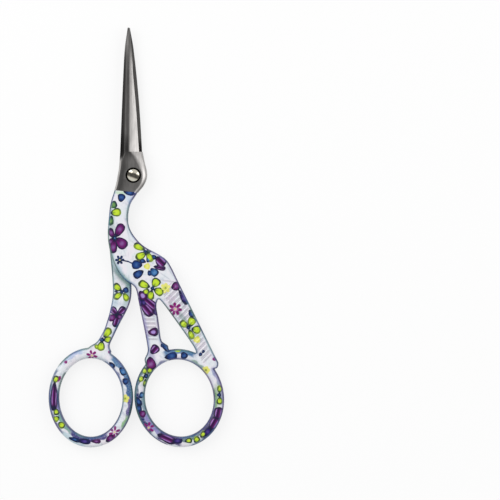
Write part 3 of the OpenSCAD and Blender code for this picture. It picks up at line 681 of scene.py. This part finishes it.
# The print stretched round the rings' rounded sides, darkened with painted shade where they turn
# away.
# Colour stretched along the rings' sides, as (from and to angle, from and to mm outwards of the
# bar's middle line, strength, screen colour)
BANDS = {
    "left": [
        (28, 62, 0.1, 1.6, 0.9, (70, 116, 160)), (-2, 30, -0.2, 1.6, 0.95, (44, 90, 140)),
        (-27, 0, 0.3, 1.6, 0.9, (84, 70, 134)), (-44, -27, 0.5, 1.6, 0.8, (120, 176, 104)),
        (-120, -66, -1.6, -0.3, 0.95, (58, 52, 118)), (203, 240, -1.6, -0.4, 0.8, (78, 144, 126)),
        (166, 201, -1.6, -0.3, 0.8, (98, 88, 164)), (100, 128, 0.4, 1.6, 0.6, (140, 164, 208)),
        (140, 232, 0.8, 1.6, 0.75, (62, 84, 130)), (232, 262, 0.2, 1.6, 0.4, (130, 190, 204)),
        (18, 60, -1.6, -0.9, 0.6, (96, 84, 146)), (62, 96, -1.6, -0.8, 0.4, (150, 176, 190)),
    ],
    "right": [
        (172, 231, 0.1, 1.6, 0.95, (24, 34, 96)), (138, 172, 0.6, 1.6, 0.8, (40, 80, 104)),
        (170, 204, -1.6, -0.4, 0.8, (88, 124, 142)), (204, 240, -1.6, -0.2, 0.8, (108, 98, 176)),
        (240, 272, -1.6, 0.7, 0.9, (56, 30, 104)), (268, 316, -1.6, -0.3, 0.85, (50, 94, 96)),
        (300, 320, 0.2, 1.6, 0.95, (24, 34, 92)), (306, 342, -1.3, 1.4, 0.95, (36, 18, 80)),
        (-8, 42, 0.6, 1.6, 0.7, (120, 128, 176)), (71, 109, 0.2, 1.6, 0.9, (66, 112, 158)),
        (50, 72, -1.6, -0.6, 0.7, (108, 146, 126)), (109, 150, -1.6, -0.9, 0.7, (80, 92, 150)),
        (-16, 15, -1.6, -0.7, 0.7, (112, 158, 100)),
    ],
}
# Edges kept pale, without the shaded, tinted edge, with the same angles, distances and strength
PALE_EDGES = {
    "left": [(228, 292, 0.2, 2.2, 0.8), (70, 134, -2.2, -0.3, 0.8), (134, 160, 0.2, 2.2, 0.4)],
    "right": [(256, 284, 0.3, 2.2, 0.7), (106, 132, -2.2, -0.3, 0.8)],
}
BAND_END, BAND_START, BAND_SIDE, BAND_IN, BAND_OUT = 3, 20, 0.15, 0.15, 0.05
BAND_WAVE, BAND_WAVES, RING_REACH = 0.18, 26, 1.25
# Loose flowers as (ink, ink of the heart), their sizes, and how far apart they are
LOOSE_INKS = (("lime", "navy"), ("plum", "blue"), ("navy", "yellow"), ("lime", "navy"))
LOOSE_REACH, LOOSE_W, LOOSE_HEART, LOOSE_LEAN = (2.2, 3), (1.5, 1.9), 0.42, 8
LOOSE_STAR, LOOSE_PETAL, LOOSE_PETAL_W = (1.6, 0.65), (2, 3.4), 1.8
LOOSE_GAP, LOOSE_TRIES, BACK_SEED, COVERED_SEED = 4.6, 900, 7, 11
COVER_OVERLAP = 4  # how far over the border the loose print starts on the covered part


def rows_of(items, key, count, kind=float):
    """One value of all vertices, edges or normals of a mesh, as rows of count numbers."""
    out = np.empty(len(items) * count, kind)
    items.foreach_get(key, out)
    return out.reshape(-1, count)


def above_seam(co):
    """How far each vertex is from the seam, towards the blades."""
    return co[:, 1] + SEAM_DROP - seam_slope * (co[:, 0] + SEAM_X)


def dense_copy(node, name):
    """A finely and evenly meshed, smoothed copy of a CAD solid, and its vertices in mm."""
    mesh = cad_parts[node].data.copy()
    mesh.materials.clear()
    mesh.vertices.foreach_set("co", (rows_of(mesh.vertices, "co", 3) * PER_METRE).ravel())
    work = bpy.data.objects.new(name + "_work", mesh)
    bpy.context.scene.collection.objects.link(work)
    step = work.modifiers.new("even", "REMESH")
    step.mode, step.voxel_size, step.adaptivity = "VOXEL", VOXEL, 0.0
    done = worked_mesh(work)
    bpy.data.objects.remove(work)
    co = rows_of(done.vertices, "co", 3)
    a, b = rows_of(done.edges, "vertices", 2, np.int64).T
    count = np.bincount(a, minlength=len(co)) + np.bincount(b, minlength=len(co))
    free = np.clip((-above_seam(co) - SEAM_KEEP) / SEAM_FADE, 0, 1)[:, None] * SMOOTHING
    for _ in range(SMOOTH_TURNS):
        near = np.stack([
            np.bincount(a, weights=co[b, k], minlength=len(co))
            + np.bincount(b, weights=co[a, k], minlength=len(co)) for k in range(3)
        ], axis=1) / count[:, None]
        co += free * (near - co)
    done.vertices.foreach_set("co", (co / PER_METRE).ravel())
    done.update()
    done.shade_smooth()
    made = bpy.data.objects.new(name, done)
    bpy.context.scene.collection.objects.link(made)
    return made, co


def off_outline(made, co, up):
    """Distance in mm of each vertex from the outline, leaving out the pocket inside the neck."""
    rim = []
    pocket = (above_seam(co) > POCKET_SEAM) & (up[:, 1] > POCKET_Y)
    for i in np.flatnonzero((np.abs(up[:, 2]) < NORMAL_SIDE) & ~pocket):
        start = co[i] + RAY_START * up[i]
        if co[i, 1] < FORK_Y or not made.ray_cast(tuple(start / PER_METRE), (0, 0, 1))[0]:
            rim.append(i)
    tree = KDTree(len(rim))
    for i in rim:
        tree.insert((co[i, 0], co[i, 1], 0), int(i))
    tree.balance()
    return np.array([tree.find((x, y, 0))[2] for x, y in co[:, :2]])


def turned(xy, x, y, degrees):
    """Where places lie from the point x, y, measured along a direction and across it."""
    d = xy - (x, y)
    a = math.radians(degrees)
    along = d[:, 0] * math.cos(a) + d[:, 1] * math.sin(a)
    return along, -d[:, 0] * math.sin(a) + d[:, 1] * math.cos(a)


def raise_ribs(co, up):
    """Height of the feather bars over each vertex, and how much painted shade it gets in a groove
    beside one.
    """
    lift, groove = np.zeros(len(co)), np.zeros(len(co))
    for count, xs, ys, halves, turn in RIB_ROWS:
        for t in np.linspace(0, 1, count):
            u, v = (np.abs(way) for way in turned(co[:, :2], mix(*xs, t), mix(*ys, t), turn))
            inside = 1 - ease((u - mix(*halves, t) + RIB_END) / RIB_END)
            lift = np.maximum(lift, RIB_LIFT * (1 - ease(v / RIB_HALF_W)) * inside)
            groove = np.maximum(groove, bell((v - GROOVE_OUT) / GROOVE_W) * inside)
    flat_top = up[:, 2] > NORMAL_FLAT
    return lift * flat_top, groove * flat_top


def to_mm(px, py):
    """A place in the photograph's pixels as x, y from the pivot."""
    return (px - PIVOT_PX[0]) * PIXEL_MM, (PIVOT_PX[1] - py) * PIXEL_MM


class Print:
    """Distance to the nearest petal and its ink, on every vertex of one handle."""

    def __init__(self, co):
        self.xy = co[:, :2]
        self.near = np.full(len(co), 3.0)
        self.line = np.ones(len(co))
        self.ink = np.tile(np.array(linear(228, 228, 238)), (len(co), 1))
        self.pale = np.zeros(len(co))
        self.haze = np.zeros((len(co), 4))
        self.haze[:, :3] = np.array(linear(150, 190, 205))[:3]

    def petal(self, ink, x, y, length, width, turn, kind, skin):
        """One petal, widest past its middle, darker at its root and along its veins."""
        base, dark, pale = (np.array(linear(*shade)) for shade in INKS[ink])
        u, v = turned(self.xy, x, y, turn)
        u, v = u / (length / 2), v / (width / 2)
        wide = np.clip(0.98 + 0.34 * u, 0.5, 1.25)
        round_off = np.abs(u) ** PETAL_SQUARE + np.abs(v / wide) ** PETAL_SQUARE
        off = (round_off ** (1 / PETAL_SQUARE) - 1) * width / 2
        where = (off < self.near) & skin
        self.near[where] = off[where]
        self.line[where] = 0.1 if kind == SOFT or ink in PALE_INKS else 1.0
        u, v, inside = u[where], v[where], np.clip(-off[where] / (0.5 * width), 0, 1)
        vein = bell(v / 0.16) * (1 - ease((u + 0.3) / 0.5))
        deep = 0.75 * (1 - ease((u + 1) / 0.75)) + 0.5 * vein
        light = 0.35 * ease((inside - 0.35) / 0.5) * ease((u + 0.4) / 0.6)
        if kind == STRIPED:
            deep = np.maximum(deep, 0.9 * ease((np.sin(v * 6 + 0.9) - 0.1) / 0.5))
            streak = ease((np.sin(v * 6 - 1.7) - 0.7) / 0.25)
            light = 0.8 * streak * ease((0.8 - np.abs(u)) / 0.3)
        elif kind == HOLLOW:
            deep, light = np.full(len(u), 0.5), 0.95 * ease((inside - 0.5) / 0.15)
        elif ink == "magenta":
            deep, light = np.zeros(len(u)), 0.9 * (1 - ease((u + 0.9) / 0.5))
        self.ink[where] = base + (dark - base) * np.clip(deep, 0, 0.9)[:, None]
        self.ink[where] += (pale - self.ink[where]) * light[:, None]

    def flower(self, ink, x, y, turns, reach, width, heart, heart_r, skin):
        """Petals all round a small heart of another ink."""
        for turn in turns:
            a = math.radians(turn)
            out_x, out_y = math.cos(a) * reach * FLOWER_OUT, math.sin(a) * reach * FLOWER_OUT
            long = reach * FLOWER_PETAL
            self.petal(ink, x + out_x, y + out_y, long, width, turn, PLAIN, skin)
        self.petal(heart, x, y, heart_r * 2, heart_r * 2, 0, PLAIN, skin)

    def blend(self, force, shade):
        """Lays thinned colour over what is there."""
        old = self.haze[:, 3]
        share = force / np.maximum(force + old * (1 - force), 1e-6)
        self.haze[:, :3] += (np.array(linear(*shade))[:3] - self.haze[:, :3]) * share[:, None]
        self.haze[:, 3] = 1 - (1 - old) * (1 - force)

    def wash(self, x, y, long, wide, turn, strength, shade, skin):
        """A soft oval of thinned colour under the petals; some ovals are painted shade."""
        u, v = turned(self.xy, x, y, turn)
        away = np.sqrt((u / long) ** 2 + (v / wide) ** 2)
        self.blend(strength * (1 - ease((away - 0.35) / 0.9)) * skin, shade)

    def along_ring(self, ring, low, high, inner, outer):
        """1 along one side of a ring's bar and 0 away from it, with soft, wavy borders."""
        x, y, a, b, lean = ring
        u, v = turned(self.xy, x, y, lean)
        reach = np.hypot(u / a, v / b)
        round_by = np.degrees(np.arctan2(self.xy[:, 1] - y, self.xy[:, 0] - x))
        angle = (round_by - low + BAND_START) % 360 + low - BAND_START
        out = (reach - 1) * np.hypot(u, v)
        out += BAND_WAVE * np.sin(np.radians(angle) * BAND_WAVES + low)
        start, end = (ease((angle - at + BAND_END) / (2 * BAND_END)) for at in (low, high))
        if inner > 0:
            inner -= BAND_IN
        near_side = ease((out - inner + BAND_SIDE) / (2 * BAND_SIDE))
        far_side = ease((out - outer - BAND_OUT) / (2 * BAND_SIDE))
        return start * (1 - end) * near_side * (1 - far_side) * (reach < RING_REACH)


def print_front(sheet, skin, first):
    """The flowers of the upper side, leaving out those higher up than the line first."""
    k = PIXEL_MM
    for side, bands in BANDS.items():
        for *span, strength, shade in bands:
            sheet.blend(strength * sheet.along_ring(RINGS[side], *span) * skin, shade)
    for side, edges in PALE_EDGES.items():
        for *span, strength in edges:
            sheet.pale += strength * sheet.along_ring(RINGS[side], *span) * skin
    for x, y, long, wide, turn, strength, shade in WASHES:
        sheet.wash(*to_mm(x, y), long * k, wide * k, turn, strength, shade, skin)
    for ink, kind, group in PETALS:
        for x, y, length, width, turn in (row for row in group if row[1] > first):
            long, wide = PETAL_LONGER * length * k, PETAL_WIDER * width * k
            sheet.petal(ink, *to_mm(x, y), long, wide, turn, kind, skin)
    for ink, x, y, count, reach, width in (row for row in STARS if row[2] > first):
        turns = [360 * i / count + x * 7 for i in range(count)]
        heart = "yellow" if ink != "yellow" else "lime"
        sheet.flower(ink, *to_mm(x, y), turns, reach * k, width * k, heart, STAR_HEART, skin)
    for x0, y0, x1, y1, x2, y2 in (row for row in STEMS if row[1] > first):
        for t in np.linspace(0, 1, STEM_DOTS):
            px = (1 - t) ** 2 * x0 + 2 * t * (1 - t) * x1 + t * t * x2
            py = (1 - t) ** 2 * y0 + 2 * t * (1 - t) * y1 + t * t * y2
            sheet.petal("navy", *to_mm(px, py), STEM_W * k, STEM_W * k, 0, PLAIN, skin)


def print_loose(sheet, skin, box, seed):
    """A looser scatter of the same flowers, for sides that face away or lie covered."""
    rng = np.random.default_rng(seed)
    placed = []
    for _ in range(LOOSE_TRIES):
        x, y = rng.uniform(box[0], box[1]), rng.uniform(box[2], box[3])
        if any((x - a) ** 2 + (y - b) ** 2 < LOOSE_GAP ** 2 for a, b in placed):
            continue
        placed.append((x, y))
        kind, turn = rng.integers(0, 6), rng.uniform(0, 360)
        if kind < 4:
            ink, heart = LOOSE_INKS[kind]
            turns = [turn + 72 * i + rng.uniform(-LOOSE_LEAN, LOOSE_LEAN) for i in range(5)]
            reach, width = rng.uniform(*LOOSE_REACH), rng.uniform(*LOOSE_W)
            sheet.flower(ink, x, y, turns, reach, width, heart, LOOSE_HEART, skin)
        elif kind == 4:
            turns = [turn + 60 * i for i in range(6)]
            sheet.flower("magenta", x, y, turns, *LOOSE_STAR, "yellow", STAR_HEART, skin)
        else:
            long = rng.uniform(*LOOSE_PETAL)
            sheet.petal("plum", x, y, long, LOOSE_PETAL_W, turn, STRIPED, skin)


def film_print():
    """Glossy printed film: ground, petals with dark outlines, and stretched, tinted edges,
    darkened with painted shade.
    """
    material = bpy.data.materials.new("floral_film")
    n = Nodes(material)
    place = n.place()
    away, groove = n.read("away"), n.read("groove")
    patch, grain = n.ramp(n.noise(place, 330.0), 0.42, 0.6), n.noise(place, 2600.0, 3.0)

    # Milky ground with faint streaks, painted shade in the grooves beside the ribs, and thinned
    # colour
    ground = n.mix(patch, linear(224, 228, 233), linear(231, 227, 234))
    ground = n.mix(n.ramp(n.noise(place, 900.0, 3.0), 0.5, 0.75), ground, linear(200, 206, 216))
    streaks = n.ramp(n.strokes(place, (2600, 500, 1), 3.0, turn=0.7), 0.58, 0.72)
    ground = n.mix(n.times(streaks, 0.4), ground, linear(170, 176, 192))
    # Painted shade in the grooves beside the ribs.
    ground = n.mix(n.times(groove, 0.7), ground, linear(164, 156, 172))
    # Thinned colour: print washes and ring bands, partly painted shade.
    thin = n.times(n.read("thick"), n.plus(0.6, n.times(grain, 0.8)))
    ground = n.mix(thin, ground, n.read("haze", "Color"))

    # Petals with a dark outline of uneven strength
    near = n.plus(n.read("near"), n.sway(n.noise(place, 1600.0), 0.22))
    covered = n.fall(near, -0.04, 0.05)
    rim = n.times(n.times(n.ramp(near, -0.46, -0.26), covered), n.read("line"))
    uneven = n.times(n.ramp(n.noise(place, 520.0, 1.0), 0.35, 0.6), 0.4)
    rim = n.times(rim, n.plus(uneven, 0.6))
    ink = n.read("ink", "Color")
    inked = n.mix(n.times(grain, 0.35), ink, (0.8, 0.8, 0.9, 1.0), "MULTIPLY")
    inked = n.mix(n.times(rim, 0.95), inked, linear(10, 20, 54))
    colour = n.mix(covered, ground, inked)

    # Painted shade: a bluish halo inside the outline, then the tinted, dark blue edge itself
    halo = n.plus(away, n.sway(n.noise(place, 240.0), 1.6))
    cool = n.mix(patch, linear(176, 206, 226), linear(190, 190, 226))
    colour = n.mix(n.times(n.fall(halo, 0.4, 1.2), 0.18), colour, cool, "MULTIPLY")
    tint = n.add("ShaderNodeValToRGB", Fac=n.noise(place, 95.0, 1.0))
    first, last = tint.node.color_ramp.elements
    first.position, first.color = 0.38, linear(84, 128, 104)
    last.position, last.color = 0.64, linear(92, 66, 128)
    for spot, shade in ((0.44, (96, 142, 146)), (0.5, (58, 100, 150)), (0.56, (112, 116, 168))):
        tint.node.color_ramp.elements.new(spot).color = linear(*shade)
    # The edge tint and dark blue edge are the print wrapped round the edge, darkened with painted
    # shade.
    colour = n.mix(n.times(n.fall(away, 0.15, 0.6), 0.75), colour, tint)
    edge_weight = n.plus(0.35, n.times(n.ramp(n.noise(place, 210.0), 0.42, 0.58), 0.55))
    colour = n.mix(n.times(n.fall(away, 0.05, 0.35), edge_weight), colour, linear(24, 32, 82))

    bump = n.add("ShaderNodeBump", Strength=0.25, Distance=0.00004, Height=n.noise(place, 700.0))
    film = n.add(
        "ShaderNodeBsdfPrincipled", Normal=bump, Roughness=0.35,
        **{"Base Color": colour, "Specular IOR Level": 0.2, "Coat Weight": 0.18,
           "Coat Roughness": 0.08},
    )
    n.add("ShaderNodeOutputMaterial", Surface=film)
    return material


film = film_print()
# Closed, the front half covers the rear one down to covered_to, in the photograph's pixels
for node, name, body, ribbed, covered_to in (
    ("rear_handle", "rear_handle_printed", "rear_half", False, 270),
    ("front_handle", "front_handle_printed", "front_half", True, 0),
):
    made, co = dense_copy(node, name)
    mesh = made.data
    up = rows_of(mesh.vertex_normals, "vector", 3, np.float32)
    groove = np.zeros(len(co))
    if ribbed:
        lift, groove = raise_ribs(co, up)
        co[:, 2] += lift
    mesh.vertices.foreach_set("co", (co / PER_METRE).ravel())
    mesh.update()
    bpy.context.view_layer.update()
    sheet = Print(co)
    top = up[:, 2] > NORMAL_TOP
    box = [co[:, 0].min(), co[:, 0].max(), co[:, 1].min(), co[:, 1].max()]
    if covered_to:
        cover_y = to_mm(0, covered_to)[1] + COVER_OVERLAP
        print_loose(sheet, top, box[:2] + [cover_y, box[3]], COVERED_SEED)
    print_front(sheet, top, covered_to)
    print_loose(sheet, ~top, box, BACK_SEED)
    paint(mesh, "ink", sheet.ink)
    paint(mesh, "near", np.clip(sheet.near, -2, 2))
    paint(mesh, "haze", sheet.haze)
    paint(mesh, "thick", sheet.haze[:, 3])
    paint(mesh, "away", off_outline(made, co, up) + sheet.pale * ease((up[:, 2] + 0.1) / 0.4))
    # The groove mask carries the painted shade beside the ribs.
    paint(mesh, "groove", groove)
    paint(mesh, "line", sheet.line)
    mesh.materials.append(film)
    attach(made, body)
    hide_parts(node)

# Pivot screw.
# A slotted, slightly domed screw of pale polished steel. Its head is sunk in the front blade's
# seat, its shank turns there, and its threaded end is filed flush with the rear blade.
HEAD_R, HEAD_LIFT, DOME, DOME_START = 1.78, 0.04, 0.35, 0.25
SHANK_BREAK, HEAD_BREAK, DOME_STEPS, TURN_STEPS, SCREW_CREASE = 0.08, 0.06, 14, 96, 30
SLOT_W, SLOT_DEPTH, SLOT_TURN, SLOT_CUT_L, SLOT_CUT_H = 0.6, 0.5, -20.0, 8, 2
PALE_TINT, POLISH_ROUGH, POLISH_MOTTLE, POLISH_CLOUDS = (1.0, 0.93, 0.78, 1.0), 0.08, 1.8, 900.0
# Screw tones: painted shade beside the slot and lower down; the pale dome is partly painted
# highlight.
SLOT_TONE, DOME_TONE, SIDE_TONE, SLOT_FADE, HAIR = 80, 254, 96, 0.6, 0.02
seat_z = stack_t - SEAT_DEPTH + HEAD_LIFT
top_z = stack_t + DOME
slot_z = top_z - SLOT_DEPTH


def lathe(name, profile):
    """Turns (radius, height) pairs round the pivot axis; a radius of 0 closes the end."""
    vertices, rings = [], []
    for r, z in profile:
        steps = range(TURN_STEPS if r else 1)
        rings.append([len(vertices) + i for i in steps])
        turns = [2 * math.pi * i / TURN_STEPS for i in steps]
        vertices += [(r * math.cos(turn), r * math.sin(turn), z) for turn in turns]
    faces = []
    for low, high in zip(rings, rings[1:]):
        for i in range(TURN_STEPS):
            j = (i + 1) % TURN_STEPS
            corners = [
                low[i % len(low)], low[j % len(low)], high[j % len(high)], high[i % len(high)]]
            faces.append(tuple(dict.fromkeys(corners)))
    return new_object(name, vertices, faces)


cap_h = DOME + DOME_START
cap_r = (HEAD_R**2 + cap_h**2) / (2 * cap_h)
profile = [
    (0, 0), (SHANK_R - SHANK_BREAK, 0), (SHANK_R, SHANK_BREAK), (SHANK_R, seat_z),
    (HEAD_R - HEAD_BREAK, seat_z), (HEAD_R, seat_z + HEAD_BREAK), (HEAD_R, stack_t - DOME_START),
]
profile += [
    (math.sqrt(max(0, cap_r**2 - (cap_r - d) ** 2)), top_z - d)
    for d in np.linspace(cap_h - HAIR, 0, DOME_STEPS)[:-1]
]
screw = lathe("pivot_screw_turned", profile + [(0, top_z)])
bpy.ops.mesh.primitive_cube_add(size=1, location=(0, 0, (slot_z + SLOT_CUT_H / 2) * MM))
slot = bpy.context.object
slot.scale = (SLOT_CUT_L * MM, SLOT_W * MM, SLOT_CUT_H * MM)
slot.rotation_euler.z = math.radians(SLOT_TURN)
cut_away(screw, slot)
sharp_by_angle(screw.data, SCREW_CREASE)
tones = []
for vertex in screw.data.vertices:
    x, y, z = vertex.co * PER_METRE
    turn = math.radians(SLOT_TURN)
    across = abs(y * math.cos(turn) - x * math.sin(turn))
    # Darker beside the slot as painted shade, brighter away from it, partly as painted highlight.
    polished = mix(SLOT_TONE, DOME_TONE, ease((across - SLOT_W / 2) / SLOT_FADE))
    tones.append(polished if z > slot_z + HAIR else SIDE_TONE)
paint_tone(screw.data, tones)
screw.data.materials.clear()
screw.data.materials.append(steel(
    "pale_polished_steel", PALE_TINT, POLISH_ROUGH, POLISH_MOTTLE, POLISH_CLOUDS))
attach(screw, "rear_half")
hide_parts("pivot_screw")
